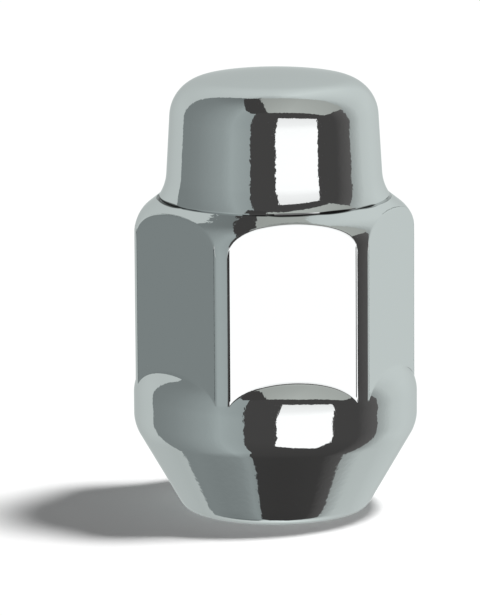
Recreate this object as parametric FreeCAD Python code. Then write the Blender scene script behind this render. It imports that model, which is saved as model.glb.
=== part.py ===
# Closed-end wheel lug nut: 60 degree seat, bulged collar, 19 mm hexagon, domed cap
import FreeCAD
import Part
import math
import os

# Driving dimensions, in millimetres and degrees

# Stud thread
thread_major_diameter = 12.0
thread_pitch = 1.5
entry_chamfer_margin = 0.1
entry_chamfer_angle = 45.0
drill_point_angle = 118.0
crown_wall = 3.5

# Open end and the conical seat
end_ring_width = 0.15
end_rounding = 1.2
seat_angle = 60.0

# Collar between the seat and the hexagon
collar_overhang = 0.12
collar_band_height = 5.25
collar_seat_rounding = 3.1
collar_shoulder_rounding = 2.9

# Hexagon
across_flats = 19.0
corner_trim = 0.3
hexagon_height = 12.2
hexagon_shoulder_angle = 38.0
hexagon_shoulder_rounding = 2.5
hexagon_edge_rounding = 0.25

# Cap over the end of the stud
cap_inset = 0.68
cap_flare = 0.54
cap_flare_height = 1.8
cap_height = 9.5
cap_draft = 3.4
cap_corner_rounding = 3.0
crown_radius = 32.0

# Crease where the cap's foot meets the hexagon's shoulder
crease_width = 0.2
crease_depth = 0.12

# Where the turned faces close on themselves, between a corner and the middle of a flat
SEAM_TURN = 15.0

# Sizes that follow from the driving dimensions
THREAD_DEPTH_PER_PITCH = 1.0825
thread_minor_radius = (thread_major_diameter - THREAD_DEPTH_PER_PITCH * thread_pitch) / 2
entry_radius = thread_major_diameter / 2 + entry_chamfer_margin
entry_depth = (entry_radius - thread_minor_radius) / math.tan(math.radians(entry_chamfer_angle))

flat_distance = across_flats / 2
hexagon_corner_radius = flat_distance / math.cos(math.pi / 6)
land_radius = hexagon_corner_radius - corner_trim
collar_radius = land_radius + collar_overhang

seat_half_angle = math.radians(seat_angle / 2)
seat_turn = math.pi / 2 - seat_half_angle
seat_small_radius = entry_radius + end_ring_width + end_rounding * math.tan(seat_turn / 2)
seat_height = (collar_radius - seat_small_radius) / math.tan(seat_half_angle)
collar_top = seat_height + collar_band_height
collar_shoulder = min(collar_shoulder_rounding, 0.6 * collar_band_height)
collar_seat_blend = min(collar_seat_rounding, 0.8 * collar_band_height)

crease_height = collar_top + hexagon_height
crease_radius = flat_distance - cap_inset
shoulder_slope = math.tan(math.radians(hexagon_shoulder_angle))
land_top = crease_height - (land_radius - crease_radius) * shoulder_slope
hexagon_root = collar_top - collar_shoulder

nut_length = crease_height + cap_height
cap_side_radius = crease_radius - cap_flare
cap_corner = min(cap_corner_rounding, 0.5 * cap_side_radius, 0.5 * cap_height)
bore_tip = nut_length - crown_wall
bore_end = bore_tip - thread_minor_radius / math.tan(math.radians(drill_point_angle / 2))


def at(radius, height):
    """A point of the half section, at a distance from the axis and a height above the open end."""
    return FreeCAD.Vector(radius, 0, height)


def turned(edges):
    """The solid that a closed half section sweeps round the nut's axis."""
    face = Part.Face(Part.Wire(edges))
    return face.revolve(at(0, 0), FreeCAD.Vector(0, 0, 1), 360)


def straight_runs(points):
    """Straight edges through the points, in order."""
    return [Part.makeLine(start, end) for start, end in zip(points, points[1:])]


def round_edge_at(solid, radius, height, rounding):
    """The solid with its circular edge at that radius and height rounded off."""
    tolerance = 1e-4
    chosen = [
        edge
        for edge in solid.Edges
        if not edge.Degenerated
        and isinstance(edge.Curve, Part.Circle)
        and abs(edge.Curve.Radius - radius) < tolerance
        and abs(edge.Curve.Center.z - height) < tolerance
    ]
    return solid.makeFillet(rounding, chosen)


def make_collar():
    """Open end, conical seat and bulged collar, with their rounded edges."""
    corners = [
        at(0, 0),
        at(seat_small_radius, 0),
        at(collar_radius, seat_height),
        at(collar_radius, collar_top),
        at(0, collar_top),
        at(0, 0),
    ]
    collar = turned(straight_runs(corners))
    collar = round_edge_at(collar, seat_small_radius, 0, end_rounding)
    collar = round_edge_at(collar, collar_radius, seat_height, collar_seat_blend)
    return round_edge_at(collar, collar_radius, collar_top, collar_shoulder)


def cap_side_point(height):
    """Point on the cap's drafted side, at a height above the crease."""
    return at(cap_side_radius - height * math.tan(math.radians(cap_draft)), crease_height + height)


def cap_flare_arc(foot):
    """Concave arc from the cap's foot up to its side, where it is tangent."""
    draft = math.radians(cap_draft)
    outward = FreeCAD.Vector(math.cos(draft), 0, math.sin(draft))
    top = cap_side_point(cap_flare_height)
    chord = foot - top
    radius = chord.dot(chord) / (2 * chord.dot(outward))
    centre = top + outward * radius
    middle = (foot - centre) + (top - centre)
    middle.normalize()
    return Part.Arc(foot, centre + middle * radius, top).toShape()


def crown_point(radius):
    """Point on the domed crown, at a distance from the axis."""
    fall = crown_radius - math.sqrt(crown_radius ** 2 - radius ** 2)
    return at(radius, nut_length - fall)


def crown_rim():
    """Point where the cap's drafted side meets the domed crown."""
    rim = crown_point(cap_side_radius)
    for _ in range(20):
        rim = crown_point(cap_side_point(rim.z - crease_height).x)
    return rim


def make_hexagon_and_cap():
    """Hexagon with trimmed corners and a domed shoulder, and the cap that stands on it."""
    shoulder = math.radians(hexagon_shoulder_angle)
    outer_lip = at(
        crease_radius + crease_width / 2 * math.cos(shoulder),
        crease_height - crease_width / 2 * math.sin(shoulder),
    )
    inner_lip = at(crease_radius - crease_width / 2, crease_height + crease_width / 2)
    groove_floor = at(crease_radius - crease_depth, crease_height - crease_depth)
    side_start = cap_side_point(cap_flare_height)
    rim = crown_rim()
    section = straight_runs([
        at(0, hexagon_root),
        at(land_radius, hexagon_root),
        at(land_radius, land_top),
        outer_lip,
        groove_floor,
        inner_lip,
    ])
    section.append(cap_flare_arc(inner_lip))
    section.append(Part.makeLine(side_start, rim))
    section.append(Part.Arc(rim, crown_point(rim.x / 2), crown_point(0)).toShape())
    section.append(Part.makeLine(crown_point(0), at(0, hexagon_root)))
    blank = turned(section)
    blank.rotate(at(0, 0), FreeCAD.Vector(0, 0, 1), SEAM_TURN)
    blank = round_edge_at(blank, land_radius, land_top, hexagon_shoulder_rounding)
    blank = round_edge_at(blank, rim.x, rim.z, cap_corner)

    flats_wire = Part.makePolygon([
        FreeCAD.Vector(
            hexagon_corner_radius * math.cos(side * math.pi / 3),
            hexagon_corner_radius * math.sin(side * math.pi / 3),
            hexagon_root,
        )
        for side in range(7)
    ])
    prism = Part.Face(flats_wire).extrude(FreeCAD.Vector(0, 0, nut_length - hexagon_root))
    body = blank.common(prism)
    return body.makeFillet(hexagon_edge_rounding, flat_outlines(body))


def flat_outlines(body):
    """Edges round the six flats, apart from those at the hexagon's root."""
    tolerance = 1e-3
    outlines = []
    for face in body.Faces:
        if not isinstance(face.Surface, Part.Plane) or abs(face.Surface.Axis.z) > tolerance:
            continue
        for edge in face.Edges:
            if edge.BoundBox.ZMax > hexagon_root + tolerance:
                outlines.append(edge)
    return outlines


def make_bore():
    """Blind tapping bore at the thread's crest size, with its entry chamfer and drill point."""
    overrun = 1.0
    mouth_radius = entry_radius + overrun * math.tan(math.radians(entry_chamfer_angle))
    return turned(straight_runs([
        at(0, -overrun),
        at(mouth_radius, -overrun),
        at(thread_minor_radius, entry_depth),
        at(thread_minor_radius, bore_end),
        at(0, bore_tip),
        at(0, -overrun),
    ]))


def make_lug_nut():
    """The whole nut, forged and machined as one piece."""
    outside = make_collar().fuse(make_hexagon_and_cap())
    return outside.cut(make_bore()).removeSplitter()


def report(name, shape):
    """Print a node's size, volume and validity."""
    box = shape.BoundBox
    print(
        name,
        "valid", shape.isValid(),
        "solids", len(shape.Solids),
        "volume_mm3", round(shape.Volume, 1),
        "size", round(box.XLength, 3), round(box.YLength, 3), round(box.ZLength, 3),
    )


def main():
    """Build the nut and write it."""
    os.makedirs("parts", exist_ok=True)
    nut = make_lug_nut().Solids[0]
    report("lug_nut", nut)
    print("thread wall from", round(entry_depth, 3), "to", round(bore_end, 3), "radius", thread_minor_radius)
    nut.exportStep("parts/lug_nut.step")


main()
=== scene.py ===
"""A chrome wheel lug nut standing on its open end, with its studio.

The nut is one piece: open end, conical seat, bulged collar, hexagon and domed cap.
Its wall is wrapped from a grid, column by column round the axis, so that the outline
of every flat is an edge loop that can be rounded off as the forging is.
"""

import logging
import math
from dataclasses import dataclass, field
from enum import Enum
from typing import Callable, Sequence

import bpy
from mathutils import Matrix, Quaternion, Vector

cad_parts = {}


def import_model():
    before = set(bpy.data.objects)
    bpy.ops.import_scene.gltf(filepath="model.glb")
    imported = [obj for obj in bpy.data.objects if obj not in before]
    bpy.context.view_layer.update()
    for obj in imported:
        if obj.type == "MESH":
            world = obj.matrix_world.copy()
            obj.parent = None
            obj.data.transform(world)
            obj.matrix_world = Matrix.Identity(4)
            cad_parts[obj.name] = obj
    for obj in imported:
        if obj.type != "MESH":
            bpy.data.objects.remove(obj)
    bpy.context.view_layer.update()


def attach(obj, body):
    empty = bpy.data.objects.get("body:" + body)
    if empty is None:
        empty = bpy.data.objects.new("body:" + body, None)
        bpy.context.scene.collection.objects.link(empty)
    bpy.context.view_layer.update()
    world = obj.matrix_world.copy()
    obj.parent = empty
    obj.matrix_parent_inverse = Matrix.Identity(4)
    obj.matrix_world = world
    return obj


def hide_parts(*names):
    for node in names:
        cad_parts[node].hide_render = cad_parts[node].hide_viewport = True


MM = 0.001
PHOTO_WIDTH = 480
PHOTO_HEIGHT = 616
CAMERA_AZIMUTH = -8.09
THREAD_DEPTH_PER_PITCH = 1.0825
SHORTEST_CHORD = 1e-9
RIPPLE_DETAIL = 2.0

log = logging.getLogger("lug_nut")

Pair = tuple[float, float]
Stops = tuple[Pair, ...]
Colour = tuple[float, float, float, float]
Fed = bpy.types.NodeSocket | float | Colour

RING_FADE: Pair = (0.65, 1.0)


class CardKind(Enum):
    """How a studio card is hung, which says what its two coordinates mean."""

    DOME = "azimuth and elevation in degrees, on a ball round the nut"
    UPRIGHT = "to the right and upwards, as shares of the distance in front of the nut"
    OVERHEAD = "to the right and to the front, as shares of the height above the nut"


def deselect_all() -> None:
    """Leave nothing selected, in object mode."""
    if bpy.context.object and bpy.context.object.mode != "OBJECT":
        bpy.ops.object.mode_set(mode="OBJECT")
    bpy.ops.object.select_all(action="DESELECT")


def select_only(*pieces: bpy.types.Object) -> None:
    """Select these objects alone and make the first one active.

    Args:
        pieces: the objects to select.
    """
    deselect_all()
    for piece in pieces:
        piece.select_set(True)
    bpy.context.view_layer.objects.active = pieces[0]


def wrapped_grid(
    name: str,
    columns: int,
    rows: int,
    place: Callable[[int, int], Vector],
    glow: Callable[[int, int], float] | None = None,
) -> bpy.types.Object:
    """A grid whose corners are moved one by one to where a column and a row meet.

    Args:
        name: the new object's name.
        columns: faces along the grid's width.
        rows: faces along the grid's height.
        place: gives the place of a column and a row, in metres.
        glow: gives the brightness of a column and a row, kept as an attribute.

    Returns:
        The wrapped grid, with its object at the origin.
    """
    deselect_all()
    bpy.ops.mesh.primitive_grid_add(x_subdivisions=columns, y_subdivisions=rows, size=1)
    piece = bpy.context.object
    piece.name = name
    cells = [
        (round((vertex.co.x + 0.5) * columns), round((vertex.co.y + 0.5) * rows))
        for vertex in piece.data.vertices
    ]
    for vertex, cell in zip(piece.data.vertices, cells):
        vertex.co = place(*cell)
    if glow:
        attribute = piece.data.attributes.new("glow", "FLOAT", "POINT")
        attribute.data.foreach_set("value", [glow(*cell) for cell in cells])
    piece.data.update()
    return piece


def between(stops: Stops, place: float) -> float:
    """Value at a place among stops, in a straight line from each stop to the next.

    Args:
        stops: places in rising order, each with its value.
        place: where the value is wanted.

    Returns:
        The value, which stays that of the end stop past either end.
    """
    for (low, start), (high, stop) in zip(stops, stops[1:]):
        if place <= high:
            share = (max(place, low) - low) / (high - low)
            return start + (stop - start) * share
    return stops[-1][1]


def arc_points(centre: Pair, radius: float, start: float, stop: float, steps: int) -> list[Pair]:
    """Points along an arc of the half section, both ends included.

    Args:
        centre: distance from the axis and height of the arc's centre.
        radius: the arc's radius.
        start: angle of the first point, in radians, 0 pointing away from the axis.
        stop: angle of the last point.
        steps: how many chords the arc has.

    Returns:
        The points, as distance from the axis and height.
    """
    angles = [start + (stop - start) * step / steps for step in range(steps + 1)]
    return [(centre[0] + radius * math.cos(a), centre[1] + radius * math.sin(a)) for a in angles]


def line_points(start: Pair, stop: Pair, steps: int) -> list[Pair]:
    """Points along a straight run of the half section, both ends included.

    Args:
        start: distance from the axis and height of the first point.
        stop: the last point.
        steps: how many pieces the run has.

    Returns:
        The points, as distance from the axis and height.
    """
    return [
        (
            start[0] + (stop[0] - start[0]) * step / steps,
            start[1] + (stop[1] - start[1]) * step / steps,
        )
        for step in range(steps + 1)
    ]


def joined_runs(*runs: Sequence[Pair]) -> list[Pair]:
    """One list of points from runs that each start where the last one ended.

    Args:
        runs: the runs, in order.

    Returns:
        All points, with each shared one once.
    """
    points = list(runs[0])
    for run in runs[1:]:
        points.extend(run[1:])
    return points


def evenly_spread(points: Sequence[Pair], steps: int) -> list[Pair]:
    """Points at equal distances along a chain of short chords.

    Args:
        points: the chain.
        steps: how many pieces the result has.

    Returns:
        The new points, with the chain's own ends.
    """
    lengths = [0.0]
    for near, far in zip(points, points[1:]):
        lengths.append(lengths[-1] + math.dist(near, far))
    spread = []
    place = 0
    for step in range(steps + 1):
        wanted = lengths[-1] * step / steps
        while place < len(points) - 2 and lengths[place + 1] < wanted:
            place += 1
        span = max(lengths[place + 1] - lengths[place], SHORTEST_CHORD)
        share = (wanted - lengths[place]) / span
        near, far = points[place], points[place + 1]
        spread.append((near[0] + (far[0] - near[0]) * share, near[1] + (far[1] - near[1]) * share))
    return spread


@dataclass
class Thread:
    """Blind tapped bore, in millimetres: entry chamfer, metric thread, run-out and drill point."""

    major_diameter: float = 12.0
    pitch: float = 1.5
    chamfer_margin: float = 0.1
    drill_point_angle: float = 118.0
    crown_wall: float = 3.5
    full_thread_end: float = 22.5
    run_out: float = 2.5
    rows_per_pitch: int = 10
    crest_share: float = 0.25
    root_share: float = 0.125
    point_rows: int = 6

    @property
    def crest_radius(self) -> float:
        """Radius of the tapping bore, at the thread's crests."""
        return (self.major_diameter - THREAD_DEPTH_PER_PITCH * self.pitch) / 2

    @property
    def mouth_radius(self) -> float:
        """Radius of the entry chamfer at the open end's face."""
        return self.major_diameter / 2 + self.chamfer_margin

    def wall_end(self, tip_height: float) -> float:
        """Height at which the bore's wall meets the drill point."""
        return tip_height - self.crest_radius / math.tan(math.radians(self.drill_point_angle / 2))

    def groove_depth(self, share: float) -> float:
        """Depth of the groove below the crest, at a share of the pitch.

        Args:
            share: place along the pitch, from 0 at the start of the crest to 1.

        Returns:
            The depth, in millimetres.
        """
        full = self.major_diameter / 2 - self.crest_radius
        flank = (1 - self.crest_share - self.root_share) / 2
        share -= self.crest_share
        if share <= 0:
            return 0.0
        if share < flank:
            return full * share / flank
        if share <= flank + self.root_share:
            return full
        return full * max(1 - share, 0) / flank

    def wall_radius(self, height: float, share: float) -> float:
        """Radius of the bore's wall at a height, for a place along the pitch.

        Args:
            height: height above the open end, in millimetres.
            share: place along the pitch, from 0 to 1.

        Returns:
            The radius, in millimetres.
        """
        fading = (self.full_thread_end + self.run_out - height) / self.run_out
        groove = self.groove_depth(share) * min(max(fading, 0.0), 1.0)
        return max(self.mouth_radius - height, self.crest_radius + groove)

    def build(self, angles: Sequence[float], nut_height: float) -> bpy.types.Object:
        """The bore's wall and drill point, from the mouth to the tip.

        Args:
            angles: angle of each column round the axis, in radians, over one whole turn.
            nut_height: height of the crown's top.

        Returns:
            The bore's wall as an open shell.
        """
        tip_height = nut_height - self.crown_wall
        wall_end = self.wall_end(tip_height)
        turns = math.ceil(wall_end / self.pitch) + 1
        wall_rows = turns * self.rows_per_pitch
        start = -self.pitch

        def place(column: int, row: int) -> Vector:
            """Place of a column and a row, along the thread and then down the drill point.

            Args:
                column: the grid column.
                row: the grid row.

            Returns:
                The place, in metres.
            """
            turn = (angles[column] - angles[0]) / math.tau
            if row > wall_rows:
                share = (row - wall_rows) / self.point_rows
                radius = self.crest_radius * (1 - share)
                height = wall_end + (tip_height - wall_end) * share
            else:
                lift = start + self.pitch * (row / self.rows_per_pitch + turn)
                height = min(max(lift, 0.0), wall_end)
                along = (height - self.pitch * turn) / self.pitch
                radius = self.wall_radius(height, along % 1.0)
            return Vector((
                radius * math.cos(angles[column]),
                radius * math.sin(angles[column]),
                height,
            )) * MM

        return wrapped_grid("tapped_bore", len(angles) - 1, wall_rows + self.point_rows, place)


@dataclass
class OpenEnd:
    """Ring that the nut stands on, and the conical seat above it, in millimetres and degrees."""

    ring_width: float = 0.15
    rounding: float = 1.2
    seat_angle: float = 60.0
    rounding_steps: int = 10
    seat_steps: int = 8

    @property
    def lean(self) -> float:
        """Angle between the seat and the axis, in radians."""
        return math.radians(self.seat_angle / 2)

    def seat_radius_at_foot(self, mouth_radius: float) -> float:
        """Radius at which the seat would meet the open end's plane."""
        return mouth_radius + self.ring_width + self.rounding * math.tan((math.pi / 2 - self.lean) / 2)

    def outline(self, mouth_radius: float) -> list[Pair]:
        """Half section from the mouth to the start of the seat.

        Args:
            mouth_radius: radius of the entry chamfer at the end's face.

        Returns:
            The points, as distance from the axis and height.
        """
        ring_edge = mouth_radius + self.ring_width
        centre = (ring_edge, self.rounding)
        return joined_runs(
            line_points((mouth_radius, 0.0), (ring_edge, 0.0), 2),
            arc_points(centre, self.rounding, -math.pi / 2, -self.lean, self.rounding_steps),
        )


@dataclass
class Collar:
    """Bulged collar between the seat and the hexagon, in millimetres."""

    land_radius: float
    overhang: float = 0.12
    band_height: float = 5.25
    seat_rounding: float = 3.1
    shoulder_rounding: float = 2.9
    root_rounding: float = 0.45
    rounding_steps: int = 12
    band_steps: int = 3
    shoulder_steps: int = 10
    root_steps: int = 5

    @property
    def radius(self) -> float:
        """Radius of the collar, which stands a little proud of the hexagon's lands."""
        return self.land_radius + self.overhang

    def top(self, seat_height: float) -> float:
        """Height of the collar's top edge, for the height at which the seat would end."""
        return seat_height + self.band_height

    def shoulder_centre(self, seat_height: float) -> Pair:
        """Centre of the shoulder's rounding, in the half section."""
        return (self.radius - self.shoulder_rounding, self.top(seat_height) - self.shoulder_rounding)

    def outline(self, seat_height: float, lean: float) -> list[Pair]:
        """Half section from the end of the seat to the start of the shoulder.

        Args:
            seat_height: height at which the seat would reach the collar's radius.
            lean: angle between the seat and the axis, in radians.

        Returns:
            The points, as distance from the axis and height.
        """
        blend_height = seat_height + self.seat_rounding * math.tan(lean / 2)
        centre = (self.radius - self.seat_rounding, blend_height)
        blend = arc_points(centre, self.seat_rounding, -lean, 0.0, self.rounding_steps)
        band_end = (self.radius, self.shoulder_centre(seat_height)[1])
        return joined_runs(blend, line_points(blend[-1], band_end, self.band_steps))

    def shoulder(self, seat_height: float, reach: float) -> list[Pair]:
        """Half section of the shoulder, inwards and up the hollow rounding of the hexagon's root.

        Args:
            seat_height: height at which the seat would reach the collar's radius.
            reach: distance of the hexagon's wall from the axis in this column.

        Returns:
            The points, as distance from the axis and height.
        """
        centre = self.shoulder_centre(seat_height)
        span = self.shoulder_rounding + self.root_rounding
        across = reach + self.root_rounding - centre[0]
        rise = math.sqrt(span ** 2 - across ** 2)
        turn = math.atan2(rise, across)
        ledge = arc_points(centre, self.shoulder_rounding, 0.0, turn, self.shoulder_steps)
        hollow_centre = (centre[0] + across, centre[1] + rise)
        hollow = arc_points(hollow_centre, self.root_rounding, math.pi + turn, math.pi, self.root_steps)
        return joined_runs(ledge, hollow)


@dataclass
class Hexagon:
    """Six flats with trimmed corners and a domed shoulder, in millimetres and degrees."""

    across_flats: float = 19.0
    corner_trim: float = 0.3
    height: float = 12.2
    shoulder_angle: float = 38.0
    shoulder_rounding: float = 2.5
    flat_steps: int = 14
    shoulder_steps: int = 12
    columns_per_half_flat: int = 16
    columns_per_half_land: int = 3
    chain_steps: int = 24
    search_steps: int = 400

    @property
    def flat_distance(self) -> float:
        """Distance of each flat from the axis."""
        return self.across_flats / 2

    @property
    def land_radius(self) -> float:
        """Radius of the trimmed corners."""
        return self.flat_distance / math.cos(math.pi / 6) - self.corner_trim

    def shoulder(self, crease: Pair, reach: float) -> list[Pair]:
        """Half section of the domed shoulder, from a column's wall up to the crease.

        Args:
            crease: distance from the axis and height of the crease's outer lip.
            reach: distance of the column's wall from the axis.

        Returns:
            The points, as distance from the axis and height.
        """
        slope = math.radians(self.shoulder_angle)
        land_top = crease[1] - (self.land_radius - crease[0]) * math.tan(slope)
        turn = math.pi / 2 - slope
        setback = self.shoulder_rounding * math.tan(turn / 2)
        centre = (self.land_radius - self.shoulder_rounding, land_top - setback)
        cosine = (reach - centre[0]) / self.shoulder_rounding
        start = math.acos(min(max(cosine, -1.0), 1.0))
        if start < turn:
            rounding = arc_points(centre, self.shoulder_rounding, start, turn, self.chain_steps)
            chain = joined_runs(rounding, line_points(rounding[-1], crease, self.chain_steps))
        else:
            foot = (reach, crease[1] - (reach - crease[0]) * math.tan(slope))
            chain = line_points(foot, crease, self.chain_steps)
        return evenly_spread(chain, self.shoulder_steps)

    def half_flat_angles(self, crease: Pair) -> list[float]:
        """Column angles from the middle of a flat to its edge, even along the flat's outline.

        Args:
            crease: distance from the axis and height of the crease's outer lip.

        Returns:
            The angles, in radians.
        """
        edge = math.acos(self.flat_distance / self.land_radius)
        chain = []
        for step in range(self.search_steps + 1):
            angle = edge * step / self.search_steps
            reach = self.flat_distance / math.cos(angle)
            chain.append((self.flat_distance * math.tan(angle), self.shoulder(crease, reach)[0][1]))
        spread = evenly_spread(chain, self.columns_per_half_flat)
        angles = [math.atan(across / self.flat_distance) for across, _ in spread]
        angles[-1] = edge
        return angles

    def columns(self, crease: Pair) -> list[Pair]:
        """Angle and reach of every column round the nut, over one whole turn.

        Args:
            crease: distance from the axis and height of the crease's outer lip.

        Returns:
            The angle in radians and the reach in millimetres of each column.
        """
        flat = self.half_flat_angles(crease)
        corner = math.pi / 6
        half = [(angle, self.flat_distance / math.cos(angle)) for angle in flat[:-1]]
        for step in range(self.columns_per_half_land + 1):
            angle = flat[-1] + (corner - flat[-1]) * step / self.columns_per_half_land
            half.append((angle, self.land_radius))
        sector = [(-angle, reach) for angle, reach in reversed(half)] + half[1:]
        around = []
        for side in range(6):
            middle = math.pi / 6 + side * math.pi / 3
            around.extend((middle + angle, reach) for angle, reach in sector[:-1])
        around.append((around[0][0] + math.tau, around[0][1]))
        return around


@dataclass
class Cap:
    """Domed cap over the end of the stud, in millimetres and degrees."""

    inset: float = 0.68
    flare: float = 0.54
    flare_height: float = 1.8
    height: float = 9.5
    draft: float = 3.4
    corner_rounding: float = 3.0
    crown_radius: float = 32.0
    flare_steps: int = 8
    side_steps: int = 6
    corner_steps: int = 16
    crown_steps: int = 12

    def outline(self, foot: Pair, crease: Pair) -> list[Pair]:
        """Half section from the foot at the crease up to the top of the crown.

        Args:
            foot: distance from the axis and height of the crease's inner lip.
            crease: radius and height of the crease, before its groove is cut.

        Returns:
            The points, as distance from the axis and height.
        """
        draft = math.radians(self.draft)
        base, start = crease
        side = base - self.flare
        top = start + self.height

        def side_at(rise: float) -> Pair:
            """Point on the drafted side, at a height above the crease."""
            return (side - rise * math.tan(draft), start + rise)

        flare_top = side_at(self.flare_height)
        chord = (foot[0] - flare_top[0], foot[1] - flare_top[1])
        reach = chord[0] * math.cos(draft) + chord[1] * math.sin(draft)
        flare_radius = (chord[0] ** 2 + chord[1] ** 2) / (2 * reach)
        centre = (
            flare_top[0] + flare_radius * math.cos(draft),
            flare_top[1] + flare_radius * math.sin(draft),
        )
        from_angle = math.atan2(foot[1] - centre[1], foot[0] - centre[0]) % math.tau
        flare = arc_points(centre, flare_radius, from_angle, math.pi + draft, self.flare_steps)

        slope = math.tan(draft)
        low = top - self.crown_radius
        inner = side - (low - start) * slope - self.corner_rounding / math.cos(draft)
        span = self.crown_radius - self.corner_rounding
        square = 1 + slope ** 2
        spare = span ** 2 - inner ** 2
        rise = (inner * slope + math.sqrt((inner * slope) ** 2 + square * spare)) / square
        corner = (inner - rise * slope, low + rise)
        crown_turn = math.atan2(rise, corner[0])
        rounding = arc_points(corner, self.corner_rounding, draft, crown_turn, self.corner_steps)
        crown = arc_points((0.0, low), self.crown_radius, crown_turn, math.pi / 2, self.crown_steps)
        return joined_runs(flare, line_points(flare[-1], rounding[0], self.side_steps), rounding, crown)


class NodeSheet:
    """A node tree that is being laid out, with each node made and joined in one call."""

    def __init__(self, tree: bpy.types.NodeTree) -> None:
        """Work on this tree."""
        self.tree = tree

    def add(self, kind: str, **settings: str | bool) -> bpy.types.Node:
        """A new node, with its own settings.

        Args:
            kind: the node's type.
            settings: its properties, by name.

        Returns:
            The node.
        """
        node = self.tree.nodes.new(kind)
        for name, value in settings.items():
            setattr(node, name, value)
        return node

    def feed(self, socket: bpy.types.NodeSocket, value: Fed) -> None:
        """Join a socket to another one, or set it to a plain value.

        Args:
            socket: the socket to feed.
            value: the socket that it takes its value from, or the value.
        """
        if isinstance(value, bpy.types.NodeSocket):
            self.tree.links.new(value, socket)
        else:
            socket.default_value = value

    def math(self, operation: str, *values: Fed) -> bpy.types.NodeSocket:
        """Result of a sum on numbers.

        Args:
            operation: the Math node's operation.
            values: its numbers, or the sockets that they come from.

        Returns:
            The result's socket.
        """
        node = self.add("ShaderNodeMath", operation=operation)
        for socket, value in zip(node.inputs, values):
            self.feed(socket, value)
        return node.outputs["Value"]

    def hypotenuse(self, *sides: bpy.types.NodeSocket) -> bpy.types.NodeSocket:
        """Length of the line that joins the far ends of two sides at a right angle."""
        squares = [self.math("POWER", side, 2.0) for side in sides]
        return self.math("SQRT", self.math("ADD", *squares))

    def spread(self, value: bpy.types.NodeSocket, source: Pair, target: Pair) -> bpy.types.NodeSocket:
        """Result of a smooth spread of one range over another.

        Args:
            value: the socket with the number.
            source: the range that it comes from.
            target: the range that it is spread over.

        Returns:
            The result's socket.
        """
        node = self.add("ShaderNodeMapRange", interpolation_type="SMOOTHSTEP")
        limits = ("From Min", "From Max", "To Min", "To Max")
        for name, limit in zip(limits, (*source, *target)):
            node.inputs[name].default_value = limit
        self.feed(node.inputs["Value"], value)
        return node.outputs["Result"]

    def placed(self, group: bpy.types.NodeTree, output: str, **values: Fed) -> bpy.types.NodeSocket:
        """One output of a group, placed with its own values.

        Args:
            group: the node group.
            output: name of the output.
            values: the group's inputs, by name in lower case.

        Returns:
            The output's socket.
        """
        node = self.add("ShaderNodeGroup")
        node.node_tree = group
        for name, value in values.items():
            self.feed(node.inputs[name.title()], value)
        return node.outputs[output]

    def bumped(
        self, height: bpy.types.NodeSocket, distance: float, normal: bpy.types.NodeSocket | None = None
    ) -> bpy.types.NodeSocket:
        """Normal of a bumpy surface.

        Args:
            height: the socket with the bumps' height, from 0 to 1.
            distance: the height of 1, in metres.
            normal: the normal under the bumps, where that isn't the mesh's own.

        Returns:
            The normal's socket.
        """
        node = self.add("ShaderNodeBump")
        node.inputs["Strength"].default_value = 1.0
        node.inputs["Distance"].default_value = distance
        self.feed(node.inputs["Height"], height)
        if normal:
            self.feed(node.inputs["Normal"], normal)
        return node.outputs["Normal"]


def new_material(name: str) -> tuple[bpy.types.Material, NodeSheet]:
    """A new node material with a Principled BSDF, and the sheet to lay it out on.

    Args:
        name: the material's name.

    Returns:
        The material and its sheet.
    """
    material = bpy.data.materials.new(name)
    material.use_nodes = True
    return material, NodeSheet(material.node_tree)


def new_group(name: str, inputs: Sequence[tuple[str, str]], output: str) -> NodeSheet:
    """A new shader node group with named sockets.

    Args:
        name: the group's name.
        inputs: name and kind of each input.
        output: name of the one output, which is a number.

    Returns:
        The sheet to lay the group out on.
    """
    group = bpy.data.node_groups.new(name, "ShaderNodeTree")
    for label, kind in inputs:
        group.interface.new_socket(label, in_out="INPUT", socket_type=kind)
    group.interface.new_socket(output, in_out="OUTPUT", socket_type="NodeSocketFloat")
    return NodeSheet(group)


def surface_ripple() -> bpy.types.NodeTree:
    """Shader group that gives the height of an uneven ripple of a named size.

    Returns:
        The group, made the first time it is asked for.
    """
    name = "surface_ripple"
    if name in bpy.data.node_groups:
        return bpy.data.node_groups[name]
    sheet = new_group(name, [("Vector", "NodeSocketVector"), ("Size", "NodeSocketFloat")], "Height")
    given = sheet.add("NodeGroupInput")
    noise = sheet.add("ShaderNodeTexNoise")
    noise.inputs["Detail"].default_value = RIPPLE_DETAIL
    sheet.feed(noise.inputs["Vector"], given.outputs["Vector"])
    sheet.feed(noise.inputs["Scale"], sheet.math("DIVIDE", 1.0, given.outputs["Size"]))
    sheet.feed(sheet.add("NodeGroupOutput").inputs["Height"], noise.outputs["Fac"])
    return sheet.tree


def ring_mask() -> bpy.types.NodeTree:
    """Shader group that marks a narrow ring round the nut's axis, at a radius and a height.

    Returns:
        The group, made the first time it is asked for.
    """
    name = "ring_mask"
    if name in bpy.data.node_groups:
        return bpy.data.node_groups[name]
    sizes = [(label, "NodeSocketFloat") for label in ("Radius", "Height", "Reach")]
    sheet = new_group(name, [("Vector", "NodeSocketVector"), *sizes], "Mask")
    given = sheet.add("NodeGroupInput").outputs
    parts = sheet.add("ShaderNodeSeparateXYZ")
    sheet.feed(parts.inputs["Vector"], given["Vector"])
    radius = sheet.hypotenuse(parts.outputs["X"], parts.outputs["Y"])
    outwards = sheet.math("SUBTRACT", radius, given["Radius"])
    upwards = sheet.math("SUBTRACT", parts.outputs["Z"], given["Height"])
    share = sheet.math("DIVIDE", sheet.hypotenuse(outwards, upwards), given["Reach"])
    mask = sheet.spread(share, RING_FADE, (1.0, 0.0))
    sheet.feed(sheet.add("NodeGroupOutput").inputs["Mask"], mask)
    return sheet.tree


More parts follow.
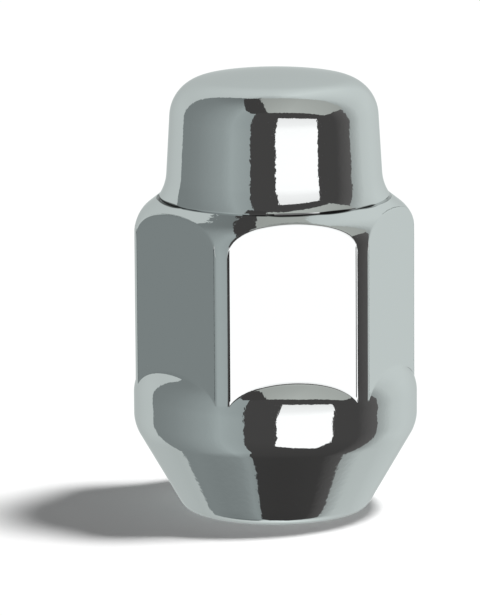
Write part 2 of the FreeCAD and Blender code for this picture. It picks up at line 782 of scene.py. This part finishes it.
@dataclass(frozen=True)
class ChromePlate:
    """Bright chrome plate that follows the slight ripple of the forging under it, with a dark ring of
    painted shade in the crease under the cap.
    """

    tint: Colour = (0.80, 0.815, 0.815, 1.0)
    glancing_tint: Colour = (0.75, 0.75, 0.75, 1.0)
    # Painted shade in the crease under the cap: the dark colour laid there and how far its ring reaches.
    painted_crease_shade: Colour = (0.12, 0.12, 0.12, 1.0)
    painted_shade_reach: Pair = (0.00005, 0.00021)
    roughness: Pair = (0.018, 0.045)
    ripple_size: float = 0.0004
    ripple_height: float = 0.0000045
    wave_size: float = 0.0055
    wave_height: float = 0.000022
    wave_range: Pair = (0.3, 0.7)
    # Painted shade in the crease: the part of the wave over which the ring's reach grows.
    painted_shade_range: Pair = (0.35, 0.6)

    def material(self, crease: Pair) -> bpy.types.Material:
        """The plate's material.

        Args:
            crease: radius and height of the crease, where a dark ring of painted shade is laid on the plate,
                in millimetres.

        Returns:
            The material.
        """
        material, sheet = new_material("chrome_plate")
        shader = material.node_tree.nodes["Principled BSDF"]
        shader.inputs["Metallic"].default_value = 1.0
        shader.inputs["Specular Tint"].default_value = self.glancing_tint
        place = sheet.add("ShaderNodeTexCoord").outputs["Object"]
        ripple = sheet.placed(surface_ripple(), "Height", vector=place, size=self.ripple_size)
        wave = sheet.placed(surface_ripple(), "Height", vector=place, size=self.wave_size)
        fine = sheet.bumped(ripple, self.ripple_height)
        sheet.feed(shader.inputs["Normal"], sheet.bumped(wave, self.wave_height, fine))
        sheet.feed(shader.inputs["Roughness"], sheet.spread(wave, self.wave_range, self.roughness))
        # Painted shade: a dark ring is mixed into the plate's colour at the crease, standing for the
        # groove's shade. Its width wavers with the ripple.
        reach = sheet.spread(wave, self.painted_shade_range, self.painted_shade_reach)
        radius, height = crease[0] * MM, crease[1] * MM
        dark = sheet.placed(ring_mask(), "Mask", vector=place, radius=radius, height=height, reach=reach)
        blend = sheet.add("ShaderNodeMix", data_type="RGBA")
        sockets = [socket for socket in blend.inputs if socket.enabled]
        for socket, value in zip(sockets, (dark, self.tint, self.painted_crease_shade)):
            sheet.feed(socket, value)
        result = next(socket for socket in blend.outputs if socket.enabled)
        sheet.feed(shader.inputs["Base Color"], result)
        return material


@dataclass(frozen=True)
class TappedSteel:
    """Thinly plated steel inside the bore, with the tap's tool marks."""

    tint: Colour = (0.42, 0.41, 0.39, 1.0)
    roughness: Pair = (0.27, 0.49)
    mark_size: float = 0.00025
    mark_height: float = 0.000006

    def material(self) -> bpy.types.Material:
        """The bore's material.

        Returns:
            The material.
        """
        material, sheet = new_material("tapped_steel")
        shader = material.node_tree.nodes["Principled BSDF"]
        shader.inputs["Metallic"].default_value = 1.0
        shader.inputs["Base Color"].default_value = self.tint
        place = sheet.add("ShaderNodeTexCoord").outputs["Object"]
        marks = sheet.placed(surface_ripple(), "Height", vector=place, size=self.mark_size)
        sheet.feed(shader.inputs["Normal"], sheet.bumped(marks, self.mark_height))
        sheet.feed(shader.inputs["Roughness"], sheet.spread(marks, (0.0, 1.0), self.roughness))
        return material


@dataclass
class LugNut:
    """The whole nut: its wall, its bore and its finish."""

    open_end: OpenEnd = field(default_factory=OpenEnd)
    hexagon: Hexagon = field(default_factory=Hexagon)
    cap: Cap = field(default_factory=Cap)
    thread: Thread = field(default_factory=Thread)
    crease_width: float = 0.2
    crease_depth: float = 0.12
    edge_width: float = 0.12
    edge_segments: int = 4
    edge_profile: float = 0.5
    upright_share: float = 0.8
    smooth_limit: float = 14.0
    normal_weight: int = 60
    merge_distance: float = 0.0001
    tolerance: float = 0.001

    @property
    def collar(self) -> Collar:
        """The collar, sized from the hexagon's lands."""
        return Collar(self.hexagon.land_radius)

    @property
    def height(self) -> float:
        """Height of the crown's top above the open end."""
        return self.crease[1] + self.cap.height

    @property
    def seat_height(self) -> float:
        """Height at which the seat would reach the collar's radius."""
        foot = self.open_end.seat_radius_at_foot(self.thread.mouth_radius)
        return (self.collar.radius - foot) / math.tan(self.open_end.lean)

    @property
    def crease(self) -> Pair:
        """Radius and height of the crease between the hexagon's shoulder and the cap."""
        radius = self.hexagon.flat_distance - self.cap.inset
        return (radius, self.collar.top(self.seat_height) + self.hexagon.height)

    @property
    def crease_lip(self) -> Pair:
        """Outer lip of the crease, on the hexagon's shoulder.

        Returns:
            The lip's distance from the axis and height.
        """
        slope = math.radians(self.hexagon.shoulder_angle)
        radius, height = self.crease
        half = self.crease_width / 2
        return (radius + half * math.cos(slope), height - half * math.sin(slope))

    def column_outline(self, reach: float) -> list[Pair]:
        """Half section of the outside in a column, from the mouth to the top of the crown.

        Args:
            reach: distance of the hexagon's wall from the axis in this column.

        Returns:
            The points, as distance from the axis and height.
        """
        foot = self.open_end.outline(self.thread.mouth_radius)
        collar = self.collar.outline(self.seat_height, self.open_end.lean)
        seat = line_points(foot[-1], collar[0], self.open_end.seat_steps)
        ledge = self.collar.shoulder(self.seat_height, reach)
        brow = self.hexagon.shoulder(self.crease_lip, reach)
        wall = line_points(ledge[-1], brow[0], self.hexagon.flat_steps)
        radius, height = self.crease
        floor = (radius - self.crease_depth, height - self.crease_depth)
        inner = (radius - self.crease_width / 2, height + self.crease_width / 2)
        groove = [brow[-1], floor, inner]
        cap = self.cap.outline(inner, self.crease)
        return joined_runs(foot, seat, collar, ledge, wall, brow, groove, cap)

    def build_outside(self, columns: Sequence[Pair]) -> bpy.types.Object:
        """The outside wall as an open shell, from the mouth to the crown.

        Args:
            columns: angle and reach of every column.

        Returns:
            The shell.
        """
        outlines = {}
        for _, reach in columns:
            outlines.setdefault(reach, self.column_outline(reach))

        def place(column: int, row: int) -> Vector:
            """Place of a column and a row of the wall.

            Args:
                column: the grid column.
                row: the grid row.

            Returns:
                The place, in metres.
            """
            angle, reach = columns[column]
            radius, height = outlines[reach][row]
            return Vector((radius * math.cos(angle), radius * math.sin(angle), height)) * MM

        rows = len(outlines[columns[0][1]]) - 1
        return wrapped_grid("lug_nut_body", len(columns) - 1, rows, place)

    def flat_faces(self, nut: bpy.types.Object) -> set[int]:
        """Faces that lie in one of the six flats.

        Args:
            nut: the closed nut.

        Returns:
            Their indices.
        """
        found = set()
        for face in nut.data.polygons:
            if abs(face.normal.z) > self.tolerance:
                continue
            turn = math.atan2(face.normal.y, face.normal.x) - math.pi / 6
            off = abs(math.remainder(turn, math.pi / 3))
            reach = face.center.dot(face.normal) / MM
            if off < self.tolerance and abs(reach - self.hexagon.flat_distance) < self.tolerance:
                found.add(face.index)
        return found

    def is_root(self, start: Vector, stop: Vector) -> bool:
        """Whether an edge of a flat's outline runs along the hexagon's root.

        Args:
            start: one end of the edge, in metres.
            stop: its other end.

        Returns:
            True where the edge is low and runs across the flat.
        """
        along = abs(start.z - stop.z) > self.upright_share * (start - stop).length
        return not along and max(start.z, stop.z) < self.collar.top(self.seat_height) * MM

    def round_flat_outlines(self, nut: bpy.types.Object) -> None:
        """Round off the outline of each flat, as the forging is.

        Args:
            nut: the closed nut.
        """
        select_only(nut)
        bpy.ops.object.mode_set(mode="EDIT")
        bpy.ops.mesh.select_mode(type="EDGE")
        bpy.ops.mesh.select_all(action="DESELECT")
        bpy.ops.object.mode_set(mode="OBJECT")
        on_flat = self.flat_faces(nut)
        uses: dict[tuple[int, int], int] = {}
        for face in nut.data.polygons:
            if face.index in on_flat:
                for key in face.edge_keys:
                    uses[key] = uses.get(key, 0) + 1
        corners = nut.data.vertices
        for edge in nut.data.edges:
            start, stop = (corners[corner].co for corner in edge.vertices)
            on_outline = uses.get(tuple(sorted(edge.vertices)), 0) == 1
            edge.select = on_outline and not self.is_root(start, stop)
        bpy.ops.object.mode_set(mode="EDIT")
        bpy.ops.mesh.bevel(
            offset=self.edge_width * MM,
            segments=self.edge_segments,
            profile=self.edge_profile,
            affect="EDGES",
            clamp_overlap=False,
        )
        bpy.ops.object.mode_set(mode="OBJECT")

    def build(self) -> bpy.types.Object:
        """The nut's finished mesh, as one closed piece.

        Returns:
            The nut.
        """
        columns = self.hexagon.columns(self.crease_lip)
        outside = self.build_outside(columns)
        bore = self.thread.build([angle for angle, _ in columns], self.height)
        outside.data.materials.append(ChromePlate().material(self.crease))
        bore.data.materials.append(TappedSteel().material())
        select_only(outside, bore)
        bpy.ops.object.join()
        nut = bpy.context.object
        bpy.ops.object.mode_set(mode="EDIT")
        bpy.ops.mesh.select_all(action="SELECT")
        bpy.ops.mesh.remove_doubles(threshold=self.merge_distance * MM)
        bpy.ops.mesh.normals_make_consistent(inside=False)
        bpy.ops.object.mode_set(mode="OBJECT")
        self.round_flat_outlines(nut)
        self.smooth(nut)
        return nut

    def smooth(self, nut: bpy.types.Object) -> None:
        """Shade the nut smooth between its crisp edges, with the flats kept truly flat.

        Args:
            nut: the closed nut.
        """
        select_only(nut)
        bpy.ops.object.shade_smooth_by_angle(angle=math.radians(self.smooth_limit))
        even = nut.modifiers.new("even_normals", "WEIGHTED_NORMAL")
        even.mode = "FACE_AREA"
        even.weight = self.normal_weight
        even.keep_sharp = True
        bpy.ops.object.modifier_apply(modifier=even.name)

    def dress(self, nut: bpy.types.Object) -> None:
        """Put the finished mesh in the CAD node's place.

        Args:
            nut: the finished nut.
        """
        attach(nut, "root")
        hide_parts("lug_nut")


def direction(azimuth: float, elevation: float) -> Vector:
    """Direction at an azimuth to the right of the camera's and at an elevation, in degrees.

    Args:
        azimuth: angle to the right of the camera's own azimuth.
        elevation: angle above the horizon.

    Returns:
        A vector of length 1.
    """
    turn, rise = math.radians(CAMERA_AZIMUTH + azimuth), math.radians(elevation)
    return Vector((math.sin(turn) * math.cos(rise), -math.cos(turn) * math.cos(rise), math.sin(rise)))


@dataclass
class StudioCard:
    """A card round the nut that is seen only in its reflections.

    Its two coordinates are those that its kind names. Its left and right edges are given at
    several places along it, and so is its brightness, from left to right and along it.
    """

    name: str
    kind: CardKind
    distance: float
    reach: Pair
    left: Stops
    right: Stops
    brightness: Stops
    fade: Stops = ((0.0, 1.0),)
    tint: tuple[float, float, float] = (1.0, 1.0, 1.0)
    columns: int = 60
    rows: int = 60
    centre_height: float = 0.017

    def coordinates(self, column: int, row: int) -> Pair:
        """The card's two coordinates at a column and a row of its grid.

        Args:
            column: the grid column.
            row: the grid row.

        Returns:
            The coordinate across the card and the one along it.
        """
        along = self.reach[0] + (self.reach[1] - self.reach[0]) * row / self.rows
        start, stop = between(self.left, along), between(self.right, along)
        return (start + (stop - start) * column / self.columns, along)

    def place(self, column: int, row: int) -> Vector:
        """Place of a column and a row of the card's grid, in metres.

        Args:
            column: the grid column.
            row: the grid row.

        Returns:
            The place.
        """
        across, along = self.coordinates(column, row)
        centre, up = Vector((0.0, 0.0, self.centre_height)), Vector((0.0, 0.0, 1.0))
        right, front = direction(90.0, 0.0), direction(0.0, 0.0)
        towards = {
            CardKind.DOME: direction(across, along),
            CardKind.UPRIGHT: front + right * across + up * along,
            CardKind.OVERHEAD: up + right * across + front * along,
        }
        return centre + towards[self.kind] * self.distance

    def glow(self, column: int, row: int) -> float:
        """Brightness at a column and a row of the card's grid."""
        across, along = self.coordinates(column, row)
        return between(self.brightness, across) * between(self.fade, along)

    def build(self) -> bpy.types.Object:
        """The card, which only polished surfaces show.

        Returns:
            The card.
        """
        card = wrapped_grid(self.name, self.columns, self.rows, self.place, self.glow)
        card.data.materials.append(self.material())
        card.visible_camera = False
        card.visible_diffuse = False
        card.visible_transmission = False
        card.visible_volume_scatter = False
        card.visible_shadow = False
        return card

    def material(self) -> bpy.types.Material:
        """The card's glow.

        Returns:
            The material.
        """
        material, sheet = new_material(self.name)
        nodes = material.node_tree.nodes
        nodes.remove(nodes["Principled BSDF"])
        light = sheet.add("ShaderNodeEmission")
        light.inputs["Color"].default_value = (*self.tint, 1.0)
        level = sheet.add("ShaderNodeAttribute", attribute_name="glow")
        sheet.feed(light.inputs["Strength"], level.outputs["Fac"])
        sheet.feed(nodes["Material Output"].inputs["Surface"], light.outputs["Emission"])
        material.cycles.emission_sampling = "NONE"
        return material


@dataclass
class Floor:
    """Pale floor that the nut stands on."""

    size: float = 12.0
    colour: Colour = (0.9, 0.9, 0.9, 1.0)
    roughness: float = 0.9
    lift: float = 0.10

    def build(self) -> bpy.types.Object:
        """The floor, which reflections don't show.

        Returns:
            The floor.
        """
        deselect_all()
        bpy.ops.mesh.primitive_plane_add(size=self.size)
        floor = bpy.context.object
        floor.name = "floor"
        floor.data.materials.append(self.material())
        floor.visible_glossy = False
        return floor

    def material(self) -> bpy.types.Material:
        """Pale paper, lifted to white for the camera, clear from below.

        Returns:
            The material.
        """
        material, sheet = new_material("pale_paper")
        nodes = material.node_tree.nodes
        paper = nodes["Principled BSDF"]
        paper.inputs["Base Color"].default_value = self.colour
        paper.inputs["Roughness"].default_value = self.roughness
        paper.inputs["Specular IOR Level"].default_value = 0.0
        seen = sheet.add("ShaderNodeLightPath").outputs["Is Camera Ray"]
        glow = sheet.add("ShaderNodeEmission")
        sheet.feed(glow.inputs["Strength"], sheet.math("MULTIPLY", seen, self.lift))
        both = sheet.add("ShaderNodeAddShader")
        sheet.feed(both.inputs[0], paper.outputs["BSDF"])
        sheet.feed(both.inputs[1], glow.outputs["Emission"])
        mix = sheet.add("ShaderNodeMixShader")
        sheet.feed(mix.inputs["Fac"], sheet.add("ShaderNodeNewGeometry").outputs["Backfacing"])
        sheet.feed(mix.inputs[1], both.outputs["Shader"])
        sheet.feed(mix.inputs[2], sheet.add("ShaderNodeBsdfTransparent").outputs["BSDF"])
        sheet.feed(nodes["Material Output"].inputs["Surface"], mix.outputs["Shader"])
        return material


@dataclass
class KeyLight:
    """Broad, even studio light from one side, which gives the floor its soft shadow."""

    azimuth: float = 100.0
    elevation: float = 66.0
    strength: float = 3.25
    softness: float = 11.0

    def build(self) -> bpy.types.Object:
        """The lamp.

        Returns:
            The lamp, in the scene.
        """
        data = bpy.data.lights.new("key_light", "SUN")
        data.energy = self.strength
        data.angle = math.radians(self.softness)
        lamp = bpy.data.objects.new("key_light", data)
        bpy.context.scene.collection.objects.link(lamp)
        towards = direction(self.azimuth, self.elevation)
        lamp.location = towards
        lamp.rotation_euler = towards.to_track_quat("Z", "Y").to_euler()
        lamp.visible_glossy = False
        return lamp


@dataclass
class PhotoCamera:
    """Camera at the photograph's viewing angle, with the nut where the photograph has it."""

    elevation: float = 10.85
    distance: float = 0.450
    focal_pixels: float = 5920.0
    target_height: float = 0.01679
    target_pixel: Pair = (274.94, 290.22)
    image_turn: float = 0.31
    sensor: float = 36.0
    clip: Pair = (0.01, 20.0)

    def build(self) -> bpy.types.Object:
        """The camera, made the scene's own.

        Returns:
            The camera.
        """
        data = bpy.data.cameras.new("photo_camera")
        data.sensor_width = self.sensor
        data.lens = self.focal_pixels * self.sensor / PHOTO_HEIGHT
        data.clip_start, data.clip_end = self.clip
        camera = bpy.data.objects.new("photo_camera", data)
        bpy.context.scene.collection.objects.link(camera)
        bpy.context.scene.camera = camera
        back = direction(0.0, self.elevation)
        camera.location = Vector((0.0, 0.0, self.target_height)) + back * self.distance
        aim = back.to_track_quat("Z", "Y")
        right = self.target_pixel[0] - PHOTO_WIDTH / 2
        up = PHOTO_HEIGHT / 2 - self.target_pixel[1]
        yaw = Quaternion((0.0, 1.0, 0.0), math.atan(right / self.focal_pixels))
        pitch = Quaternion((1.0, 0.0, 0.0), -math.atan(up / self.focal_pixels))
        roll = Quaternion((0.0, 0.0, 1.0), -math.radians(self.image_turn))
        camera.rotation_mode = "QUATERNION"
        camera.rotation_quaternion = aim @ yaw @ pitch @ roll
        return camera


@dataclass
class Studio:
    """Floor, cards, lamp, sky and camera."""

    ambient: float = 0.08
    cool: tuple[float, float, float] = (0.92, 1.0, 0.985)
    green_grey: tuple[float, float, float] = (0.885, 1.0, 1.0)
    warm_black: tuple[float, float, float] = (1.0, 0.97, 0.96)

    def surround(self) -> StudioCard:
        """The light walls all round.

        Returns:
            The card.
        """
        return StudioCard(
            "light_surround", CardKind.DOME, 9.0, (-89.9, 89.9), ((0.0, -180.0),), ((0.0, 180.0),),
            ((-180.0, 0.71), (-150.0, 0.68), (88.0, 0.36), (97.0, 0.47), (109.0, 0.65), (130.0, 0.74),
             (155.0, 0.82), (180.0, 0.71)),
            ((-88.0, 1.34), (-72.0, 1.08), (-58.0, 0.92), (-42.0, 0.86), (-25.0, 1.0), (12.0, 1.0),
             (28.0, 0.95), (70.0, 0.96), (80.0, 0.72)), self.cool, columns=180,
        )

    def side_cards(self) -> list[StudioCard]:
        """The grey card on the left, and the black flag in front and on the right.

        Returns:
            The two cards.
        """
        return [
            StudioCard(
                "grey_card", CardKind.DOME, 8.4, (-80.0, 72.0),
                ((-80.0, -117.0), (0.0, -118.0), (45.0, -124.0)), ((0.0, -15.0),),
                ((-122.0, 0.245), (-105.0, 0.25), (-90.0, 0.27), (-75.0, 0.31), (-58.0, 0.36), (-46.0, 0.43),
                 (-36.0, 0.40), (-26.0, 0.375)),
                ((-80.0, 0.74), (-66.0, 0.78), (-52.0, 1.07), (-10.0, 1.05), (5.0, 1.0), (50.0, 0.98),
                 (72.0, 0.85)), self.green_grey,
            ),
            StudioCard(
                "black_flag", CardKind.DOME, 7.8, (-85.0, 52.0),
                ((-80.0, -37.0), (-66.0, -36.0), (-52.0, -26.0), (52.0, -25.0)), ((0.0, 91.0),),
                ((-40.0, 0.066), (71.0, 0.064), (78.0, 0.088), (91.0, 0.12)),
                ((-80.0, 0.62), (-60.0, 0.84), (-20.0, 1.0)), self.warm_black,
            ),
        ]

    def top_cards(self) -> list[StudioCard]:
        """The card overhead, and the dark gap along its left side.

        Returns:
            The two cards.
        """
        return [
            StudioCard(
                "overhead_gap", CardKind.OVERHEAD, 3.45, (-0.15, 0.92),
                ((-0.15, -0.31), (0.64, -0.55)), ((0.0, -0.12),), ((0.0, 0.056),), tint=self.warm_black,
            ),
            StudioCard(
                "overhead_card", CardKind.OVERHEAD, 3.3, (-0.13, 0.87), ((0.0, -0.14),), ((0.0, 1.65),),
                ((-0.14, 0.43), (0.3, 0.5), (1.65, 0.44)), ((-0.13, 0.9), (0.87, 1.06)), (0.95, 1.0, 0.95),
            ),
        ]

    def window(self) -> StudioCard:
        """The bright window in front, a little out of plumb, with a slanting lower edge.

        Returns:
            The card.
        """
        return StudioCard(
            "window", CardKind.UPRIGHT, 3.0, (-1.05, 0.63),
            ((-1.05, 0.74), (-0.6, -0.03), (0.0, 0.03), (0.63, 0.10)),
            ((-1.05, 0.78), (-0.72, 1.06), (0.0, 1.10), (0.63, 1.17)),
            ((0.0, 1.25),), ((-0.05, 1.0), (0.2, 0.86), (0.63, 0.78)), columns=12, rows=120,
        )

    def sky(self) -> None:
        """White for the camera and in reflections, and a low even light for everything else."""
        world = bpy.context.scene.world or bpy.data.worlds.new("studio_air")
        bpy.context.scene.world = world
        world.use_nodes = True
        world.node_tree.nodes.clear()
        sheet = NodeSheet(world.node_tree)
        rays = sheet.add("ShaderNodeLightPath").outputs
        seen = sheet.math("MAXIMUM", rays["Is Camera Ray"], rays["Is Glossy Ray"])
        shown = sheet.math("MAXIMUM", seen, rays["Is Transmission Ray"])
        air = sheet.add("ShaderNodeBackground")
        air.inputs["Color"].default_value = (1.0, 1.0, 1.0, 1.0)
        sheet.feed(air.inputs["Strength"], sheet.spread(shown, (0.0, 1.0), (self.ambient, 1.0)))
        sheet.feed(sheet.add("ShaderNodeOutputWorld").inputs["Surface"], air.outputs["Background"])

    def build(self) -> None:
        """Set up everything round the nut."""
        PhotoCamera().build()
        Floor().build()
        for card in [self.surround(), *self.side_cards(), *self.top_cards(), self.window()]:
            card.build()
        KeyLight().build()
        self.sky()
        bpy.context.scene.view_settings.view_transform = "Standard"


def main() -> None:
    """Build the studio and the nut."""
    logging.basicConfig(level=logging.INFO, format="%(name)s: %(message)s")
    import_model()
    Studio().build()
    nut_maker = LugNut()
    nut = nut_maker.build()
    nut_maker.dress(nut)
    log.info("%s: %d faces, %d corners", nut.name, len(nut.data.polygons), len(nut.data.vertices))


if __name__ == "__main__":
    main()
